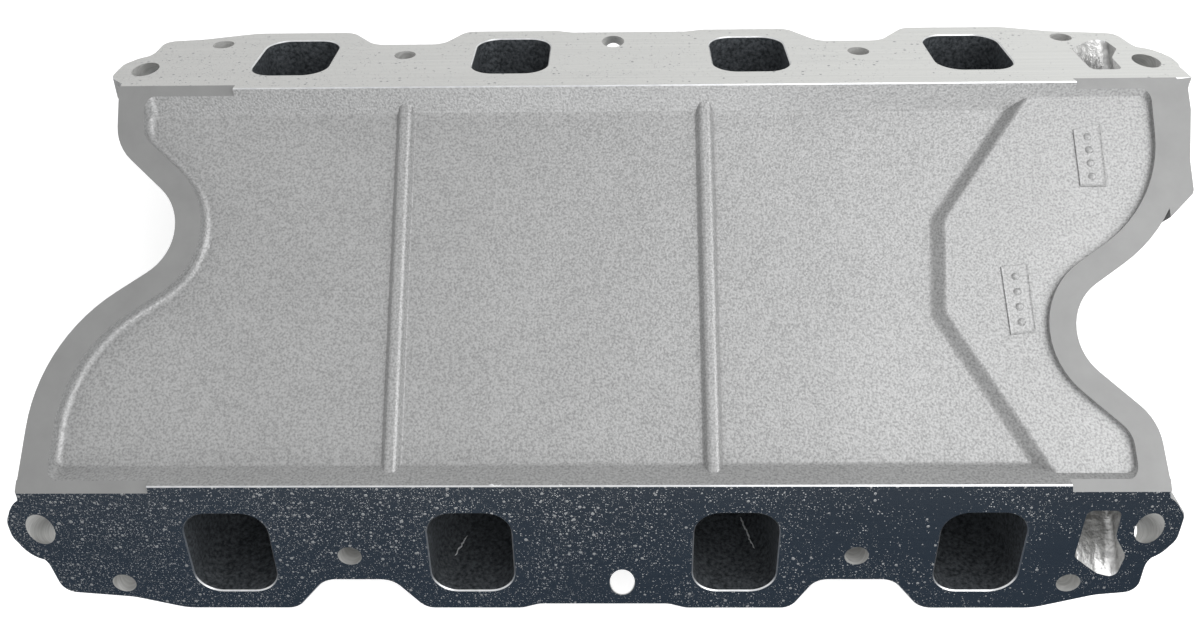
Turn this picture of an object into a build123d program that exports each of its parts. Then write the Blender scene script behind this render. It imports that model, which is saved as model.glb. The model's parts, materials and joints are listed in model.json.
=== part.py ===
from build123d import *
from math import cos, radians, sin, tan
import os

# Intake manifold for a 90 degree V8, lying upside down on its carburettor pad.
# Millimetres. The origin is the centre of the carburettor pad face, +Z points to the
# valley side and +X to the front of the engine. Heights named "drop" are measured
# down from the plane of the two end-seal rails.

# Overall
rail_height = 125.0  # carburettor pad face to the rail plane
valley_half_width = 105.7  # centre line to where a head face meets the rail plane
bank_stagger = 15.4  # how far one bank sits ahead of the other
face_angle = 45.0  # head faces to the rail plane

# Head flanges: along the bank from its middle, and down the slope from the rail plane
flange_thickness = 12.0
flange_rear = 285.0
flange_front = 271.5
flange_reach = 79.5
flange_edge_chamfer = 0.6
ridge = 4.3  # the face carries on past the rail plane, up to the cast ridge

# Intake ports
inner_port = 65.95
outer_port = 186.65
port_slope = 40.1
port_width = 41.8
port_height = 52.7
port_radius = 13.0
port_chamfer = 0.6
runner_wall = 5.0
runner_end_width = 36.0
runner_end_height = 46.0
runner_end_radius = 10.0
runner_end_drop = 72.0
inner_runner_end = 38.0  # where an inner runner enters the plenum's side
inner_lead_in = 30.0  # how far a runner keeps its first and last directions
inner_lead_out = 24.0
outer_lead_in = 62.0
outer_lead_out = 58.0
runner_steps = 5
wall_overlap = 2.0
root_along = 88.5  # the plenum's region takes in the runners' roots, out to here
root_across = 95.0

# Head bolt holes: (along the bank, down the slope)
ear_bolts = [(-278.5, 23.7), (266.0, 23.7)]
middle_bolt = (9.5, 60.6)
face_bolts = [(-245.0, 61.0), (-127.0, 42.0), (126.0, 42.0), (234.0, 61.0)]
ear_bolt_bore = 14.0
middle_bolt_bore = 12.8
face_bolt_bore = 12.0
bolt_boss = 21.0
bolt_boss_depth = 6.0  # behind the flange
ear_boss = 30.0
ear_boss_depth = 30.0  # straight down from the face

# Valley tray
tray_thickness = 14.0
rail_width = 13.2
pocket_depth = 8.0
shallow_depth = 3.0  # over the coolant crossover
pocket_corner = 5.0
pocket_fillet = 3.5
step_lean = 45.0
step_fillet = 2.5
step_overrun = 6.3  # the step runs on past the head faces
pocket_top = 6.0  # how far the clearance is cut above the rail plane
rib_places = [-111.5, 46.6]
rib_width = 10.0
rib_height = 4.3
rib_flare = 3.0

milled_legs = [(-227.5, -227.5, -1), (216.0, 220.0, -1), (-202.0, -202.0, 1), (239.5, 235.0, 1)]

# Plenum and carburettor pad
plenum_length = 160.0
plenum_width = 124.0
plenum_wall = 6.0
plenum_drop = 40.0
plenum_radius = 14.0
pad_length = 152.0
pad_width = 165.0
pad_thickness = 14.0
pad_radius = 16.0
bore_diameter = 44.0
bore_spacing = 50.0
stud_width = 142.9
square_stud_length = 131.1
spread_stud_length = 108.0

# Coolant crossover
crossover_drop = 58.0
crossover_wall = 6.0
crossover_inset = 3.0
water_ports = [(-1, 245.5), (1, 256.5)]  # side of the engine, along that bank
water_reach = 34.0
thermostat_place = (236.0, 48.0)
thermostat_drop = 84.0
thermostat_bore = 46.0
thermostat_seat = 54.0
thermostat_seat_depth = 3.0
thermostat_bolt_spacing = 76.0
thermostat_lug = 13.0
thermostat_flange = 10.0

# Fitted pieces
insert_outer = 10.0
insert_bore = 7.0
insert_length = 12.0
insert_chamfer = 0.5
pipe_thread = 17.0
plug_length = 11.0
plug_socket = 8.0
plug_socket_depth = 6.0
plug_recess = 1.0
port_boss = 28.0
port_boss_height = 8.0
nipple_outer = 16.0
nipple_bore = 11.0
nipple_reach = 24.0
nipple_hex = 22.0
nipple_hex_height = 7.0
barb_pitch = 6.0
barb_height = 1.0
bracket_boss = 20.0
bracket_level = 18.0  # bracket bosses above the pad face
bracket_sink = 15.0  # their tops, below the middles of the runners' ends
bracket_bolts = [(-50.0, -84.0), (-66.0, -106.0)]

# Worked out from the above
slope = radians(face_angle)
down_slope = Vector(0, -cos(slope), -sin(slope))
inward = Vector(0, sin(slope), -cos(slope))
ridge_half_width = valley_half_width - ridge * cos(slope)
ridge_rise = ridge * sin(slope)
bank_middle = Vector(-bank_stagger / 2, -valley_half_width, rail_height)
head_face = Plane(origin=bank_middle, x_dir=(1, 0, 0), z_dir=-inward)
far_face = Plane(origin=(bank_stagger / 2, valley_half_width, rail_height), x_dir=(1, 0, 0),
                 z_dir=(0, sin(slope), cos(slope)))



# Water port: either side of its middle, down the slope, corner radius
water_corners = [
    (-11.5, 12, 3.5),
    (5, 12, 3.5),
    (5.5, 29, 8),
    (13, 42, 6),
    (11, 57.5, 4),
    (1, 54, 6),
    (-12, 43, 5),
]

# Front lug outside the rail, on the right bank's side
lug_corners = [
    (280, 30, 0),
    (293.4, 43, 5),
    (293.6, 60, 20),
    (297.6, 88, 8),
    (297.6, 100, 8),
    (300.4, valley_half_width, 0),
    (300.4, 120, 0),
    (280, 120, 0),
]


def height(drop):
    return rail_height - drop


def level(drop):
    return (height(drop) - 0.01, height(drop) + 0.01)


def on_face(along, down):
    return (along, -down)


def face_point(along, down):
    return bank_middle + Vector(along, 0, 0) + down_slope * down


# Tapped holes that face the hood or the plenum's sides
upright_ports = [("heater_hose_nipple", (204.0, -46.0)), ("temperature_port_plug", (188.0, -12.0))]
bypass_plane = Plane(origin=(230, -25, rail_height - 36), x_dir=(0, 1, 0), z_dir=(1, 0, 0))
plenum_port_level = 28.0
boss_reach = Vector(plenum_length / 2 + port_boss_height, plenum_width / 2 + port_boss_height)
plenum_ports = []
for name, x, y in [("vacuum_port_plug_front", 1, 0), ("vacuum_port_plug_rear", -1, 0),
                   ("pcv_port_plug", 0, -1), ("brake_port_plug", 0, 1)]:
    place = Vector(x * boss_reach.X, y * boss_reach.Y, plenum_port_level)
    plenum_ports.append((name, Plane(origin=place, z_dir=(x, y, 0))))

# Thread inserts: where they stand and the height of the face they are flush with
insert_names = []
insert_places = []
for stud_length, kind in [(square_stud_length, "square"), (spread_stud_length, "spread")]:
    for end, end_name in [(1, "front"), (-1, "rear")]:
        for side, side_name in [(-1, "left"), (1, "right")]:
            insert_names.append(f"carb_insert_{kind}_{end_name}_{side_name}")
            insert_places.append(((end * stud_length / 2, side * stud_width / 2), 0))
for side, side_name in [(-1, "left"), (1, "right")]:
    lug = (thermostat_place[0], thermostat_place[1] + side * thermostat_bolt_spacing / 2)
    insert_names.append(f"thermostat_insert_{side_name}")
    insert_places.append((lug, height(thermostat_drop)))
for place, end_name in zip(bracket_bolts, ["front", "rear"]):
    insert_names.append(f"bracket_insert_{end_name}")
    insert_places.append((place, bracket_level))

upright_bolts = [(place, ear_bolt_bore) for place in ear_bolts]
upright_bolts.append((middle_bolt, middle_bolt_bore))

# Along the bank, down the slope, corner radius
flange_corners = [
    (-flange_rear, -ridge, 0),
    (-flange_rear, 6, 10),
    (-294.5, 17, 12),
    (-294.5, 31, 12),
    (-281, 46, 12),
    (-278, 67.5, 9),
    (-242, 71.5, 30),
    (-216, flange_reach, 30),
    (-158.5, flange_reach, 10),
    (-142, 59, 12),
    (-107.5, 59, 12),
    (-92, flange_reach, 10),
    (-42, flange_reach, 10),
    (-33, flange_reach - 3, 10),
    (33, flange_reach - 3, 10),
    (42, flange_reach, 10),
    (95.7, flange_reach, 9),
    (107.5, 59, 10),
    (146, 59, 12),
    (161.7, flange_reach, 12),
    (219, flange_reach, 30),
    (249, 70, 30),
    (270, 67.5, 8),
    (270, 46, 12),
    (281.5, 33, 12),
    (281.5, 14, 10),
    (flange_front, 4, 8),
    (flange_front, -ridge, 0),
]

# Front end of the valley tray, across the engine; the rear end is the same, turned round
tray_front = [
    (263.7, -ridge_half_width, 0),
    (261.5, -72, 28),
    (226.8, -40.1, 28),
    (226.8, -12.5, 28),
    (289.4, 30.6, 87),
    (292.4, ridge_half_width, 0),
]

# Foot of the step from the deep floor up to the floor over the crossover
step_line = [(161.8, 32, 12), (158.6, -19, 12)]
step_ends = [(220, valley_half_width + step_overrun), (214, -valley_half_width - step_overrun)]


def rounded(corners):
    points = [(x, y) for x, y, r in corners]
    return FilletPolyline(*points, radius=[r for x, y, r in corners], close=True)


def tray_corners(reach):
    front = [*tray_front]
    if reach:
        front = [(tray_front[0][0], -ridge_half_width - reach, 0), *tray_front[1:-1]]
        front.append((tray_front[-1][0], ridge_half_width + reach, 0))
    rear = [(-x, -y, r) for x, y, r in front]
    return front + rear


def crossover_corners(clearance):
    right = flange_rear + 30
    far_end, near_end = step_ends
    step = [(x + clearance, y, r) for x, y, r in step_line]
    return [(near_end[0] + clearance, near_end[1], 0), (right, near_end[1], 0),
            (right, far_end[1], 0), (far_end[0] + clearance, far_end[1], 0), *step]


def water_mouth(side, along, growth):
    with BuildSketch(head_face if side < 0 else far_face) as mouth:
        with BuildLine():
            rounded([(along + x, side * s, r) for x, s, r in water_corners])
        make_face()
        if growth:
            offset(amount=growth)
    return mouth.sketch


def runner_planes(along, side, start, reach):
    # Section planes from a port to the plenum: side 0 enters the side wall, -1 or 1 an end wall
    from_port = face_point(along, port_slope) + inward * start
    if side:
        end = Vector(side * (plenum_length / 2 - reach), -plenum_width / 4, height(runner_end_drop))
        arrive = Vector(-side, 0, 0)
        lead_in = outer_lead_in
        lead_out = outer_lead_out
    else:
        end_along = inner_runner_end if along > 0 else -inner_runner_end
        end = Vector(end_along, -plenum_width / 2 + reach, height(runner_end_drop))
        arrive = Vector(0, 1, 0)
        lead_in = inner_lead_in
        lead_out = inner_lead_out
    curve = Bezier(from_port, from_port + inward * lead_in, end - arrive * lead_out, end,
                   mode=Mode.PRIVATE)
    planes = []
    for step in range(runner_steps + 1):
        t = step / runner_steps
        travel = curve % t
        up = (down_slope * (t - 1) + Vector(0, 0, t)).normalized()
        across = travel.cross(up).normalized()
        planes.append(Plane(origin=curve @ t, x_dir=across, z_dir=travel))
    return planes


def runner(along, side, wall, start, reach):
    sections = []
    planes = runner_planes(along, side, start, reach)
    for step, plane in enumerate(planes):
        t = step / runner_steps
        width = port_width + (runner_end_width - port_width) * t + 2 * wall
        tall = port_height + (runner_end_height - port_height) * t + 2 * wall
        radius = port_radius + (runner_end_radius - port_radius) * t + wall
        with BuildSketch(plane) as section:
            RectangleRounded(width, tall, radius)
        sections.append(section.sketch.face())
    return sections


ports = [(-outer_port, -1), (-inner_port, 0), (inner_port, 0), (outer_port, 1)]

# Ear bosses, for the upright bolts at a flange's two ends
with BuildPart() as ears:
    for x, s in ear_bolts:
        with BuildSketch(Plane(face_point(x, s) + Vector(0, 0, ear_boss))):
            Circle(ear_boss / 2)
        extrude(amount=-ear_boss - ear_boss_depth)
    split(bisect_by=head_face, keep=Keep.BOTTOM)

# A head flange and its bosses, before it is cut
with BuildPart() as flange:
    with BuildSketch(head_face):
        with BuildLine():
            rounded([(*on_face(x, s), r) for x, s, r in flange_corners])
        make_face()
    extrude(amount=-flange_thickness)
    face_edges = flange.faces().sort_by(lambda f: f.center().dot(-inward))[-1].outer_wire().edges()
    chamfer(face_edges, flange_edge_chamfer)
    with BuildSketch(head_face.offset(-flange_thickness + 1)):
        with Locations(*[on_face(x, s) for x, s in face_bolts]):
            Circle(bolt_boss / 2)
    extrude(amount=-bolt_boss_depth - 1)
    add(ears.part)

# One bank: its flange and the outsides of its four runners
with BuildPart() as bank:
    add(flange.part)
    for along, side in ports:
        loft(runner(along, side, runner_wall, wall_overlap, wall_overlap))

# What is cut from one bank: port passages and bolt holes
with BuildPart() as bank_cuts:
    for along, side in ports:
        loft(runner(along, side, 0, flange_thickness, 2 * plenum_wall))
    with BuildSketch(head_face):
        with Locations(*[on_face(along, port_slope) for along, side in ports]):
            RectangleRounded(port_width, port_height, port_radius)
    extrude(amount=-flange_thickness)
    with BuildSketch(head_face):
        with Locations(*[on_face(along, port_slope) for along, side in ports]):
            RectangleRounded(port_width + 2 * port_chamfer, port_height + 2 * port_chamfer,
                             port_radius + port_chamfer)
    extrude(amount=-port_chamfer, taper=45)
    with BuildSketch(head_face):
        with Locations(*[on_face(x, s) for x, s in face_bolts]):
            Circle(face_bolt_bore / 2)
    extrude(amount=-flange_thickness - bolt_boss_depth)
    for (x, s), bore in upright_bolts:
        with BuildSketch(Plane(face_point(x, s) + Vector(0, 0, bore))):
            Circle(bore / 2)
        extrude(amount=-bore - ear_boss_depth)

# The floor over the crossover, and the slope up to it
with BuildPart() as step:
    with BuildSketch(Plane.XY.offset(height(pocket_depth))):
        with BuildLine():
            rounded(crossover_corners(0))
        make_face()
    extrude(amount=pocket_depth - shallow_depth, taper=step_lean)
    fillet(step.edges().filter_by_position(Axis.Z, *level(shallow_depth)), step_fillet)

# Clearance in the tray between the two flanges, down to the floor
with BuildPart() as pocket:
    with BuildSketch(Plane.XY.offset(height(pocket_depth))) as floor_shape:
        with BuildLine():
            rounded(tray_corners(2 * rail_width))
        make_face()
        offset(amount=-rail_width)
    extrude(amount=pocket_depth + pocket_top)
    with BuildSketch(Plane.YZ.offset(-flange_rear - 30)):
        with BuildLine():
            lean = tan(slope)
            foot = ridge_half_width - (ridge_rise + pocket_depth) * lean
            brow = ridge_half_width + (pocket_top - ridge_rise) * lean
            Polyline((-foot, height(pocket_depth)), (-brow, height(-pocket_top)),
                     (brow, height(-pocket_top)), (foot, height(pocket_depth)), close=True)
        make_face()
    extrude(amount=2 * flange_rear + 60, mode=Mode.INTERSECT)
    corners = pocket.edges().filter_by(
        lambda e: abs((e @ 1 - e @ 0).Z) > pocket_depth and abs((e @ 0.5).Y) > foot
    )
    fillet(corners, pocket_corner)
    add(step.part, mode=Mode.SUBTRACT)
    fillet(pocket.edges().filter_by_position(Axis.Z, *level(pocket_depth)), pocket_fillet)
    for place in rib_places:
        with BuildSketch(Plane.XZ.offset(-valley_half_width)):
            with BuildLine():
                half = rib_width / 2
                base = height(pocket_depth) - rib_flare / 3
                FilletPolyline((place - half - rib_flare, base), (place - half, base + 0.8),
                               (place - half / 2, base + rib_flare / 3 + rib_height),
                               (place + half / 2, base + rib_flare / 3 + rib_height),
                               (place + half, base + 0.8), (place + half + rib_flare, base),
                               radius=[rib_flare, half / 2, half / 2, rib_flare])
                Polyline((place + half + rib_flare, base),
                         (place + half + rib_flare, base - pocket_depth),
                         (place - half - rib_flare, base - pocket_depth),
                         (place - half - rib_flare, base))
            make_face()
        extrude(amount=2 * valley_half_width, mode=Mode.SUBTRACT)

# Milled ends of the ridges, where the rails run out along the head faces
with BuildPart() as milling:
    with BuildSketch(Plane.XY.offset(rail_height)):
        for end, half, side in milled_legs:
            run = flange_rear + 30 if end > 0 else -flange_rear - 30
            with BuildLine():
                Polyline((end, side * (ridge_half_width - 12)), (end, side * ridge_half_width),
                         (half, side * (valley_half_width + 12)),
                         (run, side * (valley_half_width + 12)),
                         (run, side * (ridge_half_width - 12)), close=True)
            make_face()
    extrude(amount=pocket_top)

# Coolant crossover: its outside, and the water inside it
with BuildPart() as crossover:
    with BuildSketch(Plane.XY.offset(height(crossover_drop))):
        with BuildLine():
            rounded(tray_corners(2 * rail_width))
        make_face()
        offset(amount=-crossover_inset)
        with BuildLine():
            rounded(crossover_corners(0))
        make_face(mode=Mode.INTERSECT)
        Rectangle(2 * flange_rear, 2 * valley_half_width, mode=Mode.INTERSECT)
    extrude(amount=crossover_drop - tray_thickness + 4)
    for side, along in water_ports:
        neck = water_mouth(side, along, crossover_wall)
        extrude(neck, amount=water_reach, dir=(0, -side, 0))
    with BuildSketch(Plane.XY.offset(height(thermostat_drop))):
        with Locations(thermostat_place):
            Circle(thermostat_seat / 2 + 6)
            SlotCenterToCenter(thermostat_bolt_spacing, 2 * thermostat_lug, rotation=90)
    extrude(amount=thermostat_flange)
    with BuildSketch(Plane.XY.offset(height(thermostat_drop))):
        with Locations(thermostat_place):
            Circle(thermostat_bore / 2 + crossover_wall)
    extrude(amount=thermostat_drop - crossover_drop + 1)
    with BuildSketch(Plane.XY.offset(height(crossover_drop + port_boss_height))):
        with Locations(*[place for name, place in upright_ports]):
            Circle(port_boss / 2)
    extrude(amount=port_boss_height + 1)
    with BuildSketch(bypass_plane):
        Circle(port_boss / 2)
    extrude(amount=-port_boss)

with BuildPart() as water:
    with BuildSketch(Plane.XY.offset(height(crossover_drop - crossover_wall))):
        with BuildLine():
            rounded(tray_corners(2 * rail_width))
        make_face()
        offset(amount=-crossover_inset - crossover_wall)
        with BuildLine():
            rounded(crossover_corners(crossover_wall + 2))
        make_face(mode=Mode.INTERSECT)
        Rectangle(2 * flange_rear, 2 * (valley_half_width - crossover_wall), mode=Mode.INTERSECT)
    extrude(amount=crossover_drop - 2 * crossover_wall - shallow_depth)
    for side, along in water_ports:
        extrude(water_mouth(side, along, 0), amount=water_reach, dir=(0, -side, 0))
    with BuildSketch(Plane.XY.offset(height(thermostat_drop))):
        with Locations(thermostat_place):
            Circle(thermostat_bore / 2)
    extrude(amount=thermostat_drop - crossover_drop + 2 * crossover_wall)
    with BuildSketch(Plane.XY.offset(height(thermostat_drop))):
        with Locations(thermostat_place):
            Circle(thermostat_seat / 2)
    extrude(amount=thermostat_seat_depth)
    with BuildSketch(Plane.XY.offset(height(crossover_drop + port_boss_height))):
        with Locations(*[place for name, place in upright_ports]):
            Circle(pipe_thread / 2)
    extrude(amount=port_boss_height + 2 * crossover_wall)
    with BuildSketch(bypass_plane):
        Circle(pipe_thread / 2)
    extrude(amount=-port_boss)

# Plenum, carburettor pad and their bosses
with BuildPart() as plenum:
    with BuildSketch(Plane.XY):
        RectangleRounded(pad_length, pad_width, pad_radius)
    extrude(amount=pad_thickness)
    with BuildSketch(Plane.XY.offset(pad_thickness - 1)):
        RectangleRounded(plenum_length, plenum_width, plenum_radius)
    extrude(amount=height(plenum_drop) - pad_thickness + 1)
    for name, plane in plenum_ports:
        with BuildSketch(plane):
            Circle(port_boss / 2)
        extrude(amount=-port_boss_height - 1)
    with BuildSketch(Plane.XY.offset(bracket_level)):
        with Locations(*bracket_bolts):
            Circle(bracket_boss / 2)
    extrude(amount=height(runner_end_drop) - bracket_sink - bracket_level)

with BuildPart() as air:
    with BuildSketch(Plane.XY.offset(pad_thickness)):
        RectangleRounded(plenum_length - 2 * plenum_wall, plenum_width - 2 * plenum_wall,
                         plenum_radius - plenum_wall)
    extrude(amount=height(plenum_drop) - plenum_wall - pad_thickness)
    with BuildSketch(Plane.XY):
        with GridLocations(bore_spacing, bore_spacing, 2, 2):
            Circle(bore_diameter / 2)
    extrude(amount=pad_thickness + 1)
    for name, plane in plenum_ports:
        with BuildSketch(plane):
            Circle(pipe_thread / 2)
        extrude(amount=-port_boss_height - 2 * plenum_wall)

# The valley tray, before it is cut
with BuildPart() as tray:
    with BuildSketch(Plane.XY.offset(height(tray_thickness))):
        with BuildLine():
            rounded(tray_corners(0))
        make_face()
    extrude(amount=tray_thickness)
    with BuildSketch(Plane.XY.offset(height(tray_thickness))):
        with BuildLine():
            rounded(lug_corners)
        make_face()
    extrude(amount=tray_thickness)
    split(bisect_by=far_face, keep=Keep.BOTTOM)

# The whole casting
with BuildPart() as casting:
    add(tray.part)
    add(bank.part)
    add(bank.part.rotate(Axis.Z, 180))
    add(crossover.part)
    add(plenum.part)
    add(milling.part, mode=Mode.SUBTRACT)
    add(pocket.part, mode=Mode.SUBTRACT)
    add(bank_cuts.part, mode=Mode.SUBTRACT)
    add(bank_cuts.part.rotate(Axis.Z, 180), mode=Mode.SUBTRACT)
    add(water.part, mode=Mode.SUBTRACT)
    add(air.part, mode=Mode.SUBTRACT)
    for place, face_height in insert_places:
        with BuildSketch(Plane.XY.offset(face_height)):
            with Locations(place):
                Circle(insert_outer / 2)
        extrude(amount=insert_length, mode=Mode.SUBTRACT)

# The casting's regions, which meet face to face: its flanges, and the body between them
right_flange = flange.part.rotate(Axis.Z, 180)
under_tray = Plane.XY.offset(height(tray_thickness))

with BuildPart() as left_head_flange:
    add(casting.part)
    add(flange.part, mode=Mode.INTERSECT)

with BuildPart() as right_head_flange:
    add(casting.part)
    add(right_flange, mode=Mode.INTERSECT)

with BuildPart() as body:
    add(casting.part)
    add(flange.part, mode=Mode.SUBTRACT)
    add(right_flange, mode=Mode.SUBTRACT)

with BuildPart() as valley_tray:
    add(body.part)
    split(bisect_by=under_tray, keep=Keep.TOP)

with BuildPart() as hood_side:
    add(body.part)
    split(bisect_by=under_tray, keep=Keep.BOTTOM)

with BuildPart() as root_box:
    Box(2 * root_along, 2 * root_across, rail_height,
        align=(Align.CENTER, Align.CENTER, Align.MIN))

with BuildPart() as carburettor_plenum:
    add(hood_side.part)
    add(root_box.part, mode=Mode.INTERSECT)

with BuildPart() as coolant_crossover:
    add(hood_side.part)
    add(crossover.part, mode=Mode.INTERSECT)

with BuildPart() as runners:
    add(hood_side.part)
    add(root_box.part, mode=Mode.SUBTRACT)
    add(crossover.part, mode=Mode.SUBTRACT)

regions = [left_head_flange.part, right_head_flange.part, valley_tray.part,
           carburettor_plenum.part, coolant_crossover.part]
region_names = ["left_head_flange", "right_head_flange", "valley_tray", "carburettor_plenum",
                "coolant_crossover"]
left_runners = runners.solids().filter_by(lambda s: s.center().Y < 0).sort_by(Axis.X)
right_runners = runners.solids().filter_by(lambda s: s.center().Y > 0).sort_by(Axis.X, reverse=True)
for side_name, bank_runners in [("left", left_runners), ("right", right_runners)]:
    for number, tube in enumerate(bank_runners, 1):
        with BuildPart() as runner_piece:
            add(tube)
        regions.append(runner_piece.part)
        region_names.append(f"{side_name}_runner_{number}")

# Thread inserts, in the tapped holes of the pad, the thermostat flange and the bracket bosses
inserts = []
for name, (place, face_height) in zip(insert_names, insert_places):
    with BuildPart() as insert:
        with BuildSketch(Plane.XY.offset(face_height)):
            with Locations(place):
                Circle(insert_outer / 2)
                Circle(insert_bore / 2, mode=Mode.SUBTRACT)
        extrude(amount=insert_length)
        chamfer(insert.edges().filter_by(GeomType.CIRCLE).group_by(SortBy.RADIUS)[0], insert_chamfer)
    insert.part.label = name
    inserts.append(insert)

# Pipe plugs, set a little below the faces of their bosses
plug_planes = [(name, plane) for name, plane in plenum_ports]
plug_planes.append(("bypass_port_plug", bypass_plane))
for name, place in upright_ports:
    if name.endswith("plug"):
        boss_face = Plane(origin=(*place, height(crossover_drop + port_boss_height)), z_dir=(0, 0, -1))
        plug_planes.append((name, boss_face))
plugs = []
for name, plane in plug_planes:
    with BuildPart() as plug:
        with BuildSketch(plane.offset(-plug_recess)):
            Circle(pipe_thread / 2)
        extrude(amount=-plug_length)
        rim = plug.edges().filter_by(GeomType.CIRCLE).sort_by(Axis(plane.origin, plane.z_dir))[-1]
        chamfer(rim, insert_chamfer)
        with BuildSketch(plane.offset(-plug_recess)):
            RegularPolygon(plug_socket / 2, 6, major_radius=False)
        extrude(amount=-plug_socket_depth, mode=Mode.SUBTRACT)
    plug.part.label = name
    plugs.append(plug)

# Heater hose nipple: a threaded shank, a hexagon and a barbed spout
nipple_name, nipple_place = upright_ports[0]
nipple_face = Plane(origin=(*nipple_place, height(crossover_drop + port_boss_height)),
                    z_dir=(0, 0, -1))
with BuildPart() as nipple:
    with BuildSketch(nipple_face.offset(-plug_length)):
        Circle(pipe_thread / 2)
    extrude(amount=plug_length)
    with BuildSketch(nipple_face):
        RegularPolygon(nipple_hex / 2, 6, major_radius=False)
    extrude(amount=nipple_hex_height)
    with BuildSketch(nipple_face.offset(nipple_hex_height)):
        Circle(nipple_outer / 2)
    extrude(amount=nipple_reach)
    for ring in range(3):
        start = nipple_hex_height + nipple_reach - (ring + 1) * barb_pitch
        with BuildSketch(nipple_face.offset(start)):
            Circle(nipple_outer / 2 + barb_height)
        extrude(amount=barb_pitch - 1, taper=12)
    with BuildSketch(nipple_face.offset(-plug_length)):
        Circle(nipple_bore / 2)
    extrude(amount=plug_length + nipple_hex_height + nipple_reach, mode=Mode.SUBTRACT)

os.makedirs("parts", exist_ok=True)
pieces = [*zip(region_names, regions), (nipple_name, nipple.part)]
pieces += [(piece.part.label, piece.part) for piece in [*plugs, *inserts]]
for name, piece in pieces:
    piece.label = name
    export_step(piece, f"parts/{name}.step")
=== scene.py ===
import bpy
import json
import random
from math import cos, radians
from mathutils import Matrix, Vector


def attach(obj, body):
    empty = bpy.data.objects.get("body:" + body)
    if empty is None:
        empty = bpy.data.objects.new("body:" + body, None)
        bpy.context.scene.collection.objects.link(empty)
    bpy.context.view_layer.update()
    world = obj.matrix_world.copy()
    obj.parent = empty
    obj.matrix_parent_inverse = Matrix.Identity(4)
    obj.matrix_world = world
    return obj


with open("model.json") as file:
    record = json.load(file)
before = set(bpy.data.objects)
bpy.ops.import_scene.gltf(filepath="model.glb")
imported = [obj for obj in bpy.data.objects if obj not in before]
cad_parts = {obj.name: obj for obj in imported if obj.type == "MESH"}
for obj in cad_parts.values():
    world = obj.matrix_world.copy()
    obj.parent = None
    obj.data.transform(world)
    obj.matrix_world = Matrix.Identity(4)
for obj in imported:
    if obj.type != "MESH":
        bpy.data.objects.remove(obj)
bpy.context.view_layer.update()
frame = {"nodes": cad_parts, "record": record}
mounts = {m["name"]: m for m in frame["record"]["mounts"]}
mm = 0.001

cameraLook = {"place": (0.0022, -0.12646, 0.68279), "turn": (14.468, 1.119, -0.046),
              "lens": 34.07, "sensor": 36, "shiftX": 0.00005, "shiftY": -0.0572,
              "nearest": 0.01}


def makeCamera():
    data = bpy.data.cameras.new("benchCamera")
    data.lens = cameraLook["lens"]
    data.sensor_width = cameraLook["sensor"]
    data.shift_x = cameraLook["shiftX"]
    data.shift_y = cameraLook["shiftY"]
    data.clip_start = cameraLook["nearest"]
    camera = bpy.data.objects.new("benchCamera", data)
    bpy.context.scene.collection.objects.link(camera)
    camera.location = cameraLook["place"]
    camera.rotation_euler = [radians(a) for a in cameraLook["turn"]]
    bpy.context.scene.camera = camera


makeCamera()
print("camera in place")


# A small kit for writing materials as nodes
def newMaterial(name):
    material = bpy.data.materials.new(name)
    material.use_nodes = True
    nodes = material.node_tree.nodes
    return material, nodes, material.node_tree.links, nodes["Principled BSDF"]


def addNode(nodes, kind, settings=None, inputs=None):
    node = nodes.new(kind)
    for name, value in (settings or {}).items():
        setattr(node, name, value)
    for name, value in (inputs or {}).items():
        node.inputs[name].default_value = value
    return node


def objectCoords(nodes, links, scale=(1, 1, 1), turn=(0, 0, 0)):
    coords = nodes.new("ShaderNodeTexCoord")
    mapping = addNode(nodes, "ShaderNodeMapping", inputs={"Scale": scale, "Rotation": turn})
    links.new(coords.outputs["Object"], mapping.inputs["Vector"])
    return mapping.outputs["Vector"]


def noise(nodes, links, vector, scale, detail=3, roughness=0.6):
    node = addNode(nodes, "ShaderNodeTexNoise",
                   inputs={"Scale": scale, "Detail": detail, "Roughness": roughness})
    links.new(vector, node.inputs["Vector"])
    return node.outputs["Fac"]


def ramp(nodes, links, value, stops, smooth=False):
    node = nodes.new("ShaderNodeValToRGB")
    node.color_ramp.interpolation = "EASE" if smooth else "LINEAR"
    elements = node.color_ramp.elements
    for index, (place, colour) in enumerate(stops):
        element = elements[index] if index < 2 else elements.new(place)
        element.position = place
        element.color = colour if len(colour) == 4 else (*colour, 1)
    links.new(value, node.inputs["Fac"])
    return node.outputs["Color"]


def grey(level):
    return (level, level, level, 1)


def mixColour(nodes, links, factor, first, second, blend="MIX"):
    node = nodes.new("ShaderNodeMix")
    node.data_type = "RGBA"
    node.blend_type = blend
    for socket, value in zip((node.inputs[0], node.inputs[6], node.inputs[7]),
                             (factor, first, second)):
        if isinstance(value, bpy.types.NodeSocket):
            links.new(value, socket)
        else:
            socket.default_value = value
    return node.outputs[2]


def bump(nodes, links, heightValue, shader, strength, distance, under=None):
    node = addNode(nodes, "ShaderNodeBump", inputs={"Strength": strength, "Distance": distance})
    links.new(heightValue, node.inputs["Height"])
    if under:
        links.new(under, node.inputs["Normal"])
    if shader:
        links.new(node.outputs["Normal"], shader.inputs["Normal"])
    return node.outputs["Normal"]


def setFinish(shader, look):
    shader.inputs["Metallic"].default_value = look["metal"]
    shader.inputs["Roughness"].default_value = look["roughness"]


castLook = {"colour": (0.475, 0.477, 0.478), "dark": (0.30, 0.302, 0.302), "grain": 900.0,
            "patches": 14, "patchShade": 0.92, "lumps": 160, "roughness": 0.42, "metal": 0.5,
            "grainBump": 0.6, "grainDepth": 0.00035, "lumpBump": 0.12, "lumpDepth": 0.0006}


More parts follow.
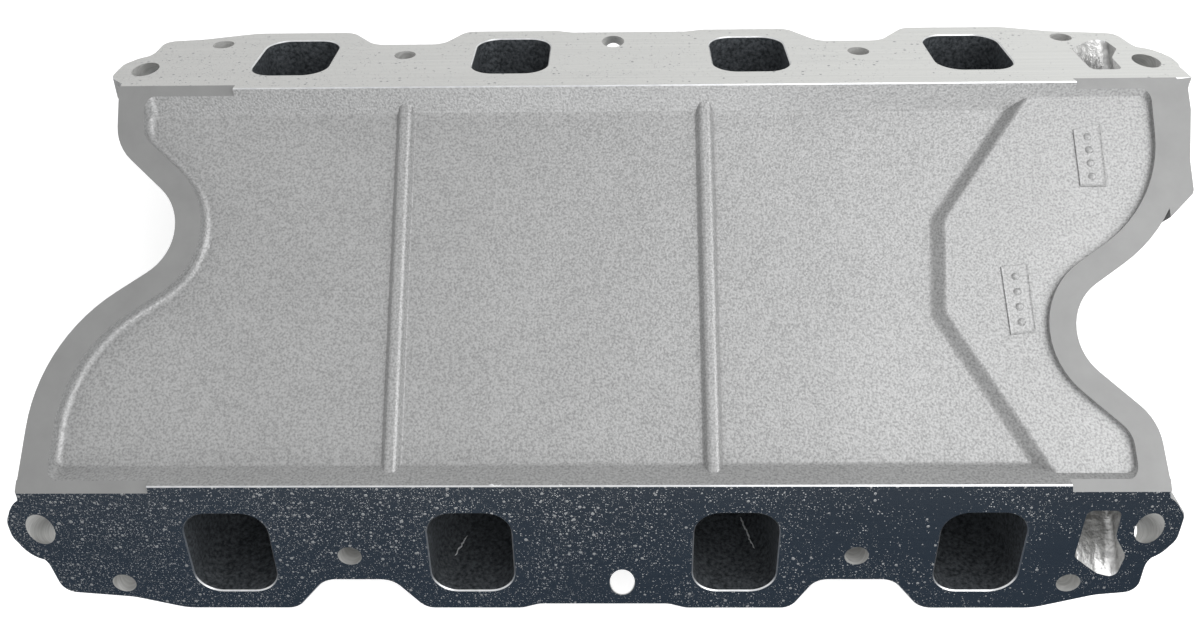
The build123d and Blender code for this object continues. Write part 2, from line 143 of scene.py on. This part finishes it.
def castSkin():
    material, nodes, links, shader = newMaterial("castSkin")
    vector = objectCoords(nodes, links)
    grain = noise(nodes, links, vector, castLook["grain"], 2, 0.5)
    patches = noise(nodes, links, vector, castLook["patches"], 3, 0.55)
    speckle = ramp(nodes, links, grain, [(0.32, castLook["dark"]), (0.62, castLook["colour"])])
    patch = ramp(nodes, links, patches, [(0.3, grey(castLook["patchShade"])), (0.7, grey(1.0))])
    colour = mixColour(nodes, links, 1.0, speckle, patch, "MULTIPLY")
    links.new(colour, shader.inputs["Base Color"])
    setFinish(shader, castLook)
    lumps = noise(nodes, links, vector, castLook["lumps"], 2, 0.5)
    low = bump(nodes, links, lumps, None, castLook["lumpBump"], castLook["lumpDepth"])
    bump(nodes, links, grain, shader, castLook["grainBump"], castLook["grainDepth"], low)
    return material


# Pits are (how many to the metre, their smallest and largest radius as a share of a cell)
faceLook = {"colour": (0.84, 0.84, 0.83), "streak": (0.78, 0.78, 0.775), "pit": (0.44, 0.45, 0.46),
            "roughness": 0.10, "speckRoughness": 0.55, "haze": 0.45, "fields": 22,
            "streaks": (6, 420, 420), "coarsePits": (330, (0.12, 0.36)),
            "finePits": (900, (0.12, 0.40)), "hazePits": (1700, (0.15, 0.5)),
            "ends": (-0.28, 0.3), "sparseEnds": (-0.03, 0.4), "streakBump": 0.03,
            "streakDepth": 0.0002, "pitBump": 0.35, "pitDepth": 0.00012}


def pits(nodes, links, vector, scale, sizes, sparse):
    # Round pits of mixed sizes, one in some of the cells. Sparse is the share left out
    cells = addNode(nodes, "ShaderNodeTexVoronoi", inputs={"Scale": scale, "Randomness": 1.0})
    links.new(vector, cells.inputs["Vector"])
    chance = nodes.new("ShaderNodeSeparateColor")
    links.new(cells.outputs["Color"], chance.inputs["Color"])
    size = addNode(nodes, "ShaderNodeMapRange", inputs={"To Min": sizes[0], "To Max": sizes[1]})
    links.new(chance.outputs["Red"], size.inputs["Value"])
    inner = addNode(nodes, "ShaderNodeMath", {"operation": "MULTIPLY"})
    links.new(size.outputs["Result"], inner.inputs[0])
    inner.inputs[1].default_value = 0.5
    disc = addNode(nodes, "ShaderNodeMapRange", inputs={"To Min": 0.0, "To Max": 1.0})
    links.new(cells.outputs["Distance"], disc.inputs["Value"])
    links.new(size.outputs["Result"], disc.inputs["From Min"])
    links.new(inner.outputs[0], disc.inputs["From Max"])
    there = addNode(nodes, "ShaderNodeMath", {"operation": "GREATER_THAN"})
    links.new(chance.outputs["Green"], there.inputs[0])
    links.new(sparse, there.inputs[1])
    both = addNode(nodes, "ShaderNodeMath", {"operation": "MULTIPLY"})
    links.new(disc.outputs["Result"], both.inputs[0])
    links.new(there.outputs[0], both.inputs[1])
    return both.outputs[0]


def headFaceSkin():
    material, nodes, links, shader = newMaterial("headFaceSkin")
    vector = objectCoords(nodes, links)
    fields = noise(nodes, links, vector, faceLook["fields"], 3, 0.6)
    streaks = noise(nodes, links, objectCoords(nodes, links, faceLook["streaks"]), 1.0, 2, 0.6)
    split = nodes.new("ShaderNodeSeparateXYZ")
    links.new(vector, split.inputs["Vector"])
    (rearEnd, frontEnd), (sparseRear, sparseFront) = faceLook["ends"], faceLook["sparseEnds"]
    along = addNode(nodes, "ShaderNodeMapRange",
                    inputs={"From Min": rearEnd, "From Max": frontEnd,
                            "To Min": sparseRear, "To Max": sparseFront})
    links.new(split.outputs["X"], along.inputs["Value"])
    sparse = addNode(nodes, "ShaderNodeMath", {"operation": "ADD"})
    links.new(along.outputs["Result"], sparse.inputs[0])
    links.new(fields, sparse.inputs[1])
    coarse = pits(nodes, links, vector, *faceLook["coarsePits"], sparse.outputs[0])
    fine = pits(nodes, links, vector, *faceLook["finePits"], sparse.outputs[0])
    haze = pits(nodes, links, vector, *faceLook["hazePits"], sparse.outputs[0])
    faint = addNode(nodes, "ShaderNodeMath", {"operation": "MULTIPLY"})
    links.new(haze, faint.inputs[0])
    faint.inputs[1].default_value = faceLook["haze"]
    dots = addNode(nodes, "ShaderNodeMath", {"operation": "MAXIMUM"})
    links.new(coarse, dots.inputs[0])
    links.new(fine, dots.inputs[1])
    mask = addNode(nodes, "ShaderNodeMath", {"operation": "MAXIMUM"})
    links.new(dots.outputs[0], mask.inputs[0])
    links.new(faint.outputs[0], mask.inputs[1])
    rough = addNode(nodes, "ShaderNodeMapRange", inputs={"To Min": faceLook["roughness"],
                                                         "To Max": faceLook["speckRoughness"]})
    links.new(mask.outputs[0], rough.inputs["Value"])
    links.new(rough.outputs["Result"], shader.inputs["Roughness"])
    sheen = ramp(nodes, links, streaks, [(0.3, faceLook["streak"]), (0.7, faceLook["colour"])])
    colour = mixColour(nodes, links, mask.outputs[0], sheen, (*faceLook["pit"], 1))
    links.new(colour, shader.inputs["Base Color"])
    shader.inputs["Metallic"].default_value = 1.0
    low = bump(nodes, links, streaks, None, faceLook["streakBump"], faceLook["streakDepth"])
    bump(nodes, links, mask.outputs[0], shader, faceLook["pitBump"], faceLook["pitDepth"], low)
    return material


# Painted shade: the milled rail tops, carb pad and thermostat face are coloured dark grey to stand
# in for the dim reflection they show; the cloud and cutter marks are their own finish
railShadeLook = {"colour": (0.30, 0.302, 0.30), "dark": (0.27, 0.271, 0.27), "roughness": 0.5,
            "metal": 0.45, "cloud": 60, "cutter": (500, 30, 500), "bump": 0.05, "depth": 0.0002}


def railShadeSkin():
    material, nodes, links, shader = newMaterial("railShadeSkin")
    vector = objectCoords(nodes, links)
    cloud = noise(nodes, links, vector, railShadeLook["cloud"], 3, 0.6)
    cutter = noise(nodes, links, objectCoords(nodes, links, railShadeLook["cutter"]), 1.0, 2, 0.5)
    # Painted shade: the dark grey base colour stands in for a dim reflection, with a faint cloud of
    # tone over it
    colour = ramp(nodes, links, cloud, [(0.3, railShadeLook["dark"]), (0.7, railShadeLook["colour"])])
    links.new(colour, shader.inputs["Base Color"])
    setFinish(shader, railShadeLook)
    bump(nodes, links, cutter, shader, railShadeLook["bump"], railShadeLook["depth"])
    return material


# Painted shade: the port passages are coloured near black to stand in for the shade inside the deep
# runners; the grain and bump over it are the rough as-cast skin
portShadeLook = {"colour": (0.04, 0.046, 0.052), "light": (0.16, 0.175, 0.19), "roughness": 0.55,
            "metal": 0.6, "grain": 520, "bump": 0.6, "depth": 0.0006}


def portShadeSkin():
    material, nodes, links, shader = newMaterial("portShadeSkin")
    vector = objectCoords(nodes, links)
    grain = noise(nodes, links, vector, portShadeLook["grain"], 3, 0.6)
    # Painted shade: this ramp runs from near black, which stands for the shade in the runners, up
    # to a dim grey grain
    colour = ramp(nodes, links, grain, [(0.35, portShadeLook["colour"]), (0.68, portShadeLook["light"])])
    links.new(colour, shader.inputs["Base Color"])
    setFinish(shader, portShadeLook)
    bump(nodes, links, grain, shader, portShadeLook["bump"], portShadeLook["depth"])
    return material


waterLook = {"dark": (0.40, 0.40, 0.40), "colour": (0.74, 0.74, 0.73), "roughness": 0.36,
             "metal": 1.0, "lumps": 210, "bump": 0.8, "depth": 0.0012}


def waterSkin():
    material, nodes, links, shader = newMaterial("waterSkin")
    vector = objectCoords(nodes, links)
    lumps = noise(nodes, links, vector, waterLook["lumps"], 3, 0.6)
    colour = ramp(nodes, links, lumps, [(0.3, waterLook["dark"]), (0.7, waterLook["colour"])])
    links.new(colour, shader.inputs["Base Color"])
    setFinish(shader, waterLook)
    bump(nodes, links, lumps, shader, waterLook["bump"], waterLook["depth"])
    return material


drilledLook = {"dark": (0.46, 0.46, 0.45), "colour": (0.66, 0.66, 0.65), "roughness": 0.38,
               "metal": 0.35, "rings": (90, 90, 900), "bump": 0.2, "depth": 0.0003}


def drilledSkin():
    material, nodes, links, shader = newMaterial("drilledSkin")
    rings = noise(nodes, links, objectCoords(nodes, links, drilledLook["rings"]), 1.0, 2, 0.5)
    colour = ramp(nodes, links, rings, [(0.3, drilledLook["dark"]), (0.7, drilledLook["colour"])])
    links.new(colour, shader.inputs["Base Color"])
    setFinish(shader, drilledLook)
    bump(nodes, links, rings, shader, drilledLook["bump"], drilledLook["depth"])
    return material


edgeLook = {"dark": (0.72, 0.73, 0.75), "colour": (0.90, 0.91, 0.92), "roughness": 0.3,
            "metal": 1.0, "nicks": 240}


def edgeSkin():
    material, nodes, links, shader = newMaterial("edgeSkin")
    nicks = noise(nodes, links, objectCoords(nodes, links), edgeLook["nicks"], 2, 0.6)
    colour = ramp(nodes, links, nicks, [(0.3, edgeLook["dark"]), (0.7, edgeLook["colour"])])
    links.new(colour, shader.inputs["Base Color"])
    setFinish(shader, edgeLook)
    return material


burrLook = {"colour": (0.8, 0.81, 0.82, 1), "roughness": 0.4, "metal": 0.2}


def flashSkin():
    material, *_, shader = newMaterial("flashSkin")
    shader.inputs["Base Color"].default_value = burrLook["colour"]
    setFinish(shader, burrLook)
    return material


skins = {"cast": castSkin(), "face": headFaceSkin(), "rail": railShadeSkin(), "port": portShadeSkin(),
         "water": waterSkin(), "drilled": drilledSkin(), "edge": edgeSkin(),
         "flash": flashSkin()}
skinOrder = list(skins)
print("casting materials made")


def deselectAll():
    for thing in bpy.context.selected_objects:
        thing.select_set(False)


# The casting's regions keep their CAD meshes. Each surface is finished by how it was made,
# which its place on its bank tells
castLayout = {"ports": (-0.18665, -0.06595, 0.06595, 0.18665), "portDown": 0.0401,
              "faceBolts": ((-0.245, 0.061), (-0.127, 0.042), (0.126, 0.042), (0.234, 0.061)),
              "middleBolt": (0.0095, 0.0606), "portReach": 0.033, "portDepth": 0.07,
              "waterReach": 0.030, "waterDepth": 0.03, "chamferDepth": 0.00065}
tolerance = {"flat": 0.00003, "square": 0.9995, "chamferTilt": (0.5, 0.9), "holeTilt": 0.3}
holeReach = {"ear": 0.0071, "middle": 0.0065, "face": 0.0061}
bankSlope = radians(45)
castNodes = [row["node"] for row in frame["record"]["subparts"]
             if row["material_slot"] == "cast_aluminium"]
faceAxes = {side: Vector(mounts[f"{side}_head_face"]["axis"]) for side in ("left", "right")}
facePoints = {side: Vector(mounts[f"{side}_head_face"]["pos_m"]) for side in ("left", "right")}


def bankPoint(side, along, down):
    # A point on a head face: along its bank from the bank's middle, and down the slope
    sign = -1 if side == "left" else 1
    bolt = Vector(mounts[f"{side}_middle_bolt"]["pos_m"])
    slant = (down - castLayout["middleBolt"][1]) * cos(bankSlope)
    return bolt + Vector((-sign * (along - castLayout["middleBolt"][0]), sign * slant, -slant))


def drilledHoles():
    holes = []
    upright = Vector((0, 0, 1))
    for side, axis in faceAxes.items():
        ears = mounts[f"{side}_ear_bolts"]
        for end in (-1, 1):
            shift = Vector((end * ears["dims"]["spacing_x_mm"] * mm / 2, 0, 0))
            holes.append((Vector(ears["pos_m"]) + shift, upright, holeReach["ear"]))
        middle = Vector(mounts[f"{side}_middle_bolt"]["pos_m"])
        holes.append((middle, upright, holeReach["middle"]))
        for along, down in castLayout["faceBolts"]:
            holes.append((bankPoint(side, along, down), axis, holeReach["face"]))
    return holes


def mouths():
    # Each passage's middle on its head face, the face's direction, and the skin inside it
    found = []
    for side, axis in faceAxes.items():
        for along in castLayout["ports"]:
            found.append((bankPoint(side, along, castLayout["portDown"]), axis, "port"))
        found.append((Vector(mounts[f"{side}_water_port"]["pos_m"]), axis, "water"))
    return found


holes = drilledHoles()
passages = mouths()
machined = [(Vector(mounts[name]["pos_m"]), Vector(mounts[name]["axis"]))
            for name in ("front_rail", "carb_pad", "thermostat_face")]


def skinFor(point, normal):
    flat, square = tolerance["flat"], tolerance["square"]
    leastTilt, mostTilt = tolerance["chamferTilt"]
    for side, axis in faceAxes.items():
        depth = (facePoints[side] - point).dot(axis)
        if abs(depth) < flat and normal.dot(axis) > square:
            return "face"
        if flat < depth < castLayout["chamferDepth"] and leastTilt < normal.dot(axis) < mostTilt:
            return "edge"
    for place, axis in machined:
        if abs((point - place).dot(axis)) < flat and normal.dot(axis) > square:
            return "rail"
    for middle, axis, reach in holes:
        offset = point - middle
        across = offset - axis * offset.dot(axis)
        if across.length < reach and abs(normal.dot(axis)) < tolerance["holeTilt"]:
            return "drilled"
    for middle, axis, skin in passages:
        offset = point - middle
        depth = -offset.dot(axis)
        across = offset + axis * depth
        inside = across.length < castLayout[f"{skin}Reach"] and across.dot(normal) < 0
        if inside and flat < depth < castLayout[f"{skin}Depth"]:
            return skin
    return "cast"


def finishCasting():
    for name in castNodes:
        mesh = frame["nodes"][name].data
        mesh.materials.clear()
        for skin in skinOrder:
            mesh.materials.append(skins[skin])
        for polygon in mesh.polygons:
            polygon.material_index = skinOrder.index(skinFor(polygon.center, polygon.normal))
    print("casting finished")


finishCasting()


# Blank foundry tags on the floor over the crossover: a raised frame round plain dots
tagLook = {"floor": 0.122, "sunk": 0.0003, "rise": 0.0008, "hollow": 0.8, "frame": 0.0013,
           "bevel": 0.00025, "smooth": radians(50), "dots": 4, "dotSize": 0.0021, "dotRise": 0.5,
           "firstDot": 0.75, "dotSpaces": 4.5}
tagCorners = {
    "foundryTagFar": ((0.2369, 0.0781), (0.2374, 0.0475), (0.2510, 0.0474), (0.2511, 0.0814)),
    "foundryTagNear": ((0.1932, 0.0054), (0.1951, -0.0293), (0.2077, -0.0280), (0.2067, 0.0068)),
}


def makeTag(name, corners):
    deselectAll()
    bpy.ops.mesh.primitive_plane_add(size=1, location=(0, 0, 0))
    tag = bpy.context.object
    tag.name = name
    base = tagLook["floor"] - tagLook["sunk"]
    order = [tag.data.vertices[i] for i in tag.data.polygons[0].vertices]
    for vertex, (x, y) in zip(order, corners):
        vertex.co = (x, y, base)
    bpy.ops.object.mode_set(mode="EDIT")
    bpy.ops.mesh.select_all(action="SELECT")
    lift = tagLook["sunk"] + tagLook["rise"]
    bpy.ops.mesh.extrude_region_move(TRANSFORM_OT_translate={"value": (0, 0, lift)})
    bpy.ops.mesh.inset(thickness=tagLook["frame"])
    bpy.ops.transform.translate(value=(0, 0, -tagLook["rise"] * tagLook["hollow"]))
    bpy.ops.mesh.select_all(action="SELECT")
    bpy.ops.mesh.normals_make_consistent(inside=False)
    bpy.ops.object.mode_set(mode="OBJECT")
    bpy.ops.object.shade_smooth_by_angle(angle=tagLook["smooth"])
    soften = tag.modifiers.new("castEdges", "BEVEL")
    soften.width = tagLook["bevel"]
    soften.segments = 2
    bpy.ops.object.modifier_apply(modifier=soften.name)
    even = tag.modifiers.new("evenShading", "WEIGHTED_NORMAL")
    even.mode = "FACE_AREA"
    bpy.ops.object.modifier_apply(modifier=even.name)
    far = (Vector(corners[0]) + Vector(corners[3])) / 2
    near = (Vector(corners[1]) + Vector(corners[2])) / 2
    pieces = [tag]
    for number in range(tagLook["dots"]):
        place = far.lerp(near, (number + tagLook["firstDot"]) / tagLook["dotSpaces"])
        deselectAll()
        bpy.ops.mesh.primitive_uv_sphere_add(segments=16, ring_count=8, radius=tagLook["dotSize"],
                                             location=(place.x, place.y, tagLook["floor"]))
        dot = bpy.context.object
        dot.scale.z = tagLook["dotRise"]
        bpy.ops.object.transform_apply(location=True, rotation=True, scale=True)
        pieces.append(dot)
    deselectAll()
    for piece in pieces:
        piece.select_set(True)
    bpy.context.view_layer.objects.active = tag
    bpy.ops.object.join()
    tag.data.materials.clear()
    tag.data.materials.append(skins["cast"])
    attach(tag, "root")


for name, corners in tagCorners.items():
    makeTag(name, corners)
print("foundry tags made")


# Thin lines of flash left in two of the near runners, and burrs on the near face's edge
flashLook = {"thick": 0.6, "wander": 0.35, "fineness": 4, "endRadius": 0.25,
             "radii": (0.4, 1.0)}
flashLines = {
    "runnerFlashRear": ((-86.1, -135.6, 64.1), (-84.6, -132.0, 60.9), (-82.9, -129.0, 58.2),
                        (-81.2, -125.4, 55.5)),
    "runnerFlashFront": ((65.4, -115.6, 49.7), (67.2, -119.8, 52.5), (68.9, -124.0, 55.5),
                         (69.5, -128.2, 58.2), (71.6, -132.2, 62.1)),
    "edgeBurrRear": ((-62.0, -102.2, 127.4), (-60.2, -102.4, 127.6), (-57.4, -102.4, 127.5),
                     (-55.0, -102.2, 127.4)),
    "edgeBurrMiddle": ((-28.6, -102.2, 127.4), (-27.8, -102.6, 127.6), (-27.0, -102.2, 127.4)),
}


def makeFlash(name, points):
    curve = bpy.data.curves.new(name, "CURVE")
    curve.dimensions = "3D"
    curve.bevel_depth = flashLook["thick"] * mm
    curve.bevel_resolution = 1
    curve.use_fill_caps = True
    spline = curve.splines.new("POLY")
    fineness = flashLook["fineness"]
    steps = (len(points) - 1) * fineness
    spline.points.add(steps)
    chance = random.Random(name)
    for index, point in enumerate(spline.points):
        whole, part = divmod(index, fineness)
        first = Vector(points[whole])
        place = first.lerp(Vector(points[min(whole + 1, len(points) - 1)]), part / fineness)
        stray = Vector([chance.uniform(-1, 1) for _ in range(3)]) * flashLook["wander"]
        point.co = (*((place + stray) * mm), 1)
        tip = index in (0, steps)
        point.radius = flashLook["endRadius"] if tip else chance.uniform(*flashLook["radii"])
    flash = bpy.data.objects.new(name, curve)
    bpy.context.scene.collection.objects.link(flash)
    deselectAll()
    flash.select_set(True)
    bpy.context.view_layer.objects.active = flash
    bpy.ops.object.convert(target="MESH")
    flash.data.materials.clear()
    flash.data.materials.append(skins["flash"])
    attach(flash, "root")


for name, points in flashLines.items():
    makeFlash(name, points)
print("flash and burrs made")


turnedLook = {"marks": 500, "darker": 0.75, "bump": 0.1, "depth": 0.0002}
fittingLooks = {
    "insert": {"skin": "insertSteel", "colour": (0.62, 0.62, 0.62), "roughness": 0.3, "metal": 1.0},
    "plug": {"skin": "plugSteel", "colour": (0.34, 0.34, 0.35), "roughness": 0.42, "metal": 1.0},
    "nipple": {"skin": "nippleBrass", "colour": (0.78, 0.58, 0.25), "roughness": 0.28,
               "metal": 1.0},
}


def turnedSkin(look):
    material, nodes, links, shader = newMaterial(look["skin"])
    marks = noise(nodes, links, objectCoords(nodes, links), turnedLook["marks"], 3, 0.6)
    darker = tuple(c * turnedLook["darker"] for c in look["colour"])
    links.new(ramp(nodes, links, marks, [(0.3, darker), (0.7, look["colour"])]),
              shader.inputs["Base Color"])
    setFinish(shader, look)
    bump(nodes, links, marks, shader, turnedLook["bump"], turnedLook["depth"])
    return material


fittings = {kind: turnedSkin(look) for kind, look in fittingLooks.items()}
for name, node in frame["nodes"].items():
    if name in castNodes:
        continue
    kind = next(kind for kind in fittings if kind in name)
    node.data.materials.clear()
    node.data.materials.append(fittings[kind])
print("fittings finished")

floorLook = {"size": 12.0, "drop": 0.0003, "colour": (0.9, 0.9, 0.9), "roughness": 0.9,
             "metal": 0.0, "glow": 0.45}


def makeFloor():
    deselectAll()
    bpy.ops.mesh.primitive_plane_add(size=floorLook["size"], location=(0, 0, -floorLook["drop"]))
    floor = bpy.context.object
    floor.name = "benchTop"
    material, *_, shader = newMaterial("benchPaper")
    shader.inputs["Base Color"].default_value = (*floorLook["colour"], 1)
    setFinish(shader, floorLook)
    shader.inputs["Emission Color"].default_value = (1, 1, 1, 1)
    shader.inputs["Emission Strength"].default_value = floorLook["glow"]
    floor.data.materials.append(material)
    floor.visible_glossy = False


makeFloor()

lights = {
    "frontFill": {"place": (0.3, -1.9, 1.15), "aim": (0, 0, 0.1), "size": (1.8, 0.6), "power": 11},
    "overhead": {"place": (0.95, 0.2, 1.7), "aim": (0, 0, 0.1), "size": (1.8, 1.4), "power": 12},
    "rightSide": {"place": (1.7, 0.1, 1.1), "aim": (0, 0, 0.1), "size": (1.0, 1.0), "power": 7},
}


def makeLights():
    for name, look in lights.items():
        data = bpy.data.lights.new(name, "AREA")
        data.shape = "RECTANGLE"
        data.size, data.size_y = look["size"]
        data.energy = look["power"]
        lamp = bpy.data.objects.new(name, data)
        bpy.context.scene.collection.objects.link(lamp)
        lamp.location = look["place"]
        aim = Vector(look["aim"]) - Vector(look["place"])
        lamp.rotation_euler = aim.to_track_quat("-Z", "Y").to_euler()


makeLights()


# A dark flag in front, a pale card behind that is lighter at its right, and a bright sky
worldLook = {"flag": (0.035, 0.05, 0.072, 1), "paleLeft": (0.78, 0.78, 0.77, 1),
             "paleRight": (1.08, 1.09, 1.07, 1), "sky": (0.95, 0.95, 0.95, 1),
             "flagEnd": -0.7, "paleStart": 0.3, "cardHalf": 0.45, "skyFoot": 0.05,
             "skyFull": 0.28, "strength": 0.8}


def makeWorld():
    world = bpy.data.worlds.new("studio")
    bpy.context.scene.world = world
    world.use_nodes = True
    nodes, links = world.node_tree.nodes, world.node_tree.links
    background = nodes["Background"]
    coords = nodes.new("ShaderNodeTexCoord")
    split = nodes.new("ShaderNodeSeparateXYZ")
    links.new(coords.outputs["Generated"], split.inputs["Vector"])
    back = addNode(nodes, "ShaderNodeMapRange", inputs={"From Min": worldLook["flagEnd"],
                                                        "From Max": worldLook["paleStart"]})
    links.new(split.outputs["Y"], back.inputs["Value"])
    sky = addNode(nodes, "ShaderNodeMapRange", inputs={"From Min": worldLook["skyFoot"],
                                                       "From Max": worldLook["skyFull"]})
    links.new(split.outputs["Z"], sky.inputs["Value"])
    acrossBack = addNode(nodes, "ShaderNodeMapRange",
                         inputs={"From Min": -worldLook["cardHalf"],
                                 "From Max": worldLook["cardHalf"]})
    links.new(split.outputs["X"], acrossBack.inputs["Value"])
    pale = mixColour(nodes, links, acrossBack.outputs["Result"], worldLook["paleLeft"],
                     worldLook["paleRight"])
    horizon = mixColour(nodes, links, back.outputs["Result"], worldLook["flag"], pale)
    both = mixColour(nodes, links, sky.outputs["Result"], horizon, worldLook["sky"])
    links.new(both, background.inputs["Color"])
    background.inputs["Strength"].default_value = worldLook["strength"]


makeWorld()
bpy.context.scene.view_settings.view_transform = "Standard"
print("stage and lights set")
